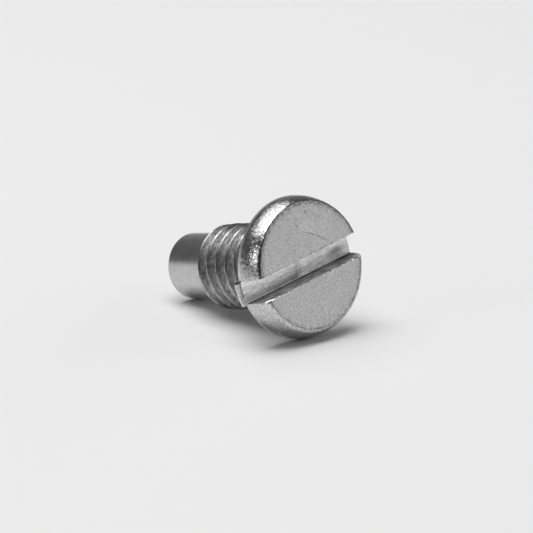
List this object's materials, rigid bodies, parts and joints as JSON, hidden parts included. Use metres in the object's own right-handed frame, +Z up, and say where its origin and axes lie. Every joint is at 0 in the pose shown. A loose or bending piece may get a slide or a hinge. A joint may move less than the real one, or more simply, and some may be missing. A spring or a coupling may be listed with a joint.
{
  "type": "magnetic drain plug",
  "caption": "Slotted drain plug: thin round head with rounded rim, short coarse-threaded shank and smooth tip holding a magnet, lying on its side.",
  "frame": {"origin": "on the surface the plug lies on, below the middle of its length", "axes": "+Z up; the plug's axis is in the XZ plane, head towards +X and raised, tip towards -X; +Y across"},
  "size_m": [0.023, 0.0154, 0.0153],
  "materials": {
    "plug_steel": "turned and tumbled steel: fine matte face, burnished rim, satin thread and tip",
    "magnet_alloy": "ground magnet alloy, dull grey"
  },
  "bodies": {
    "root": {"plug_body": "plug_steel", "magnet": "magnet_alloy"}
  },
  "joints": []
}
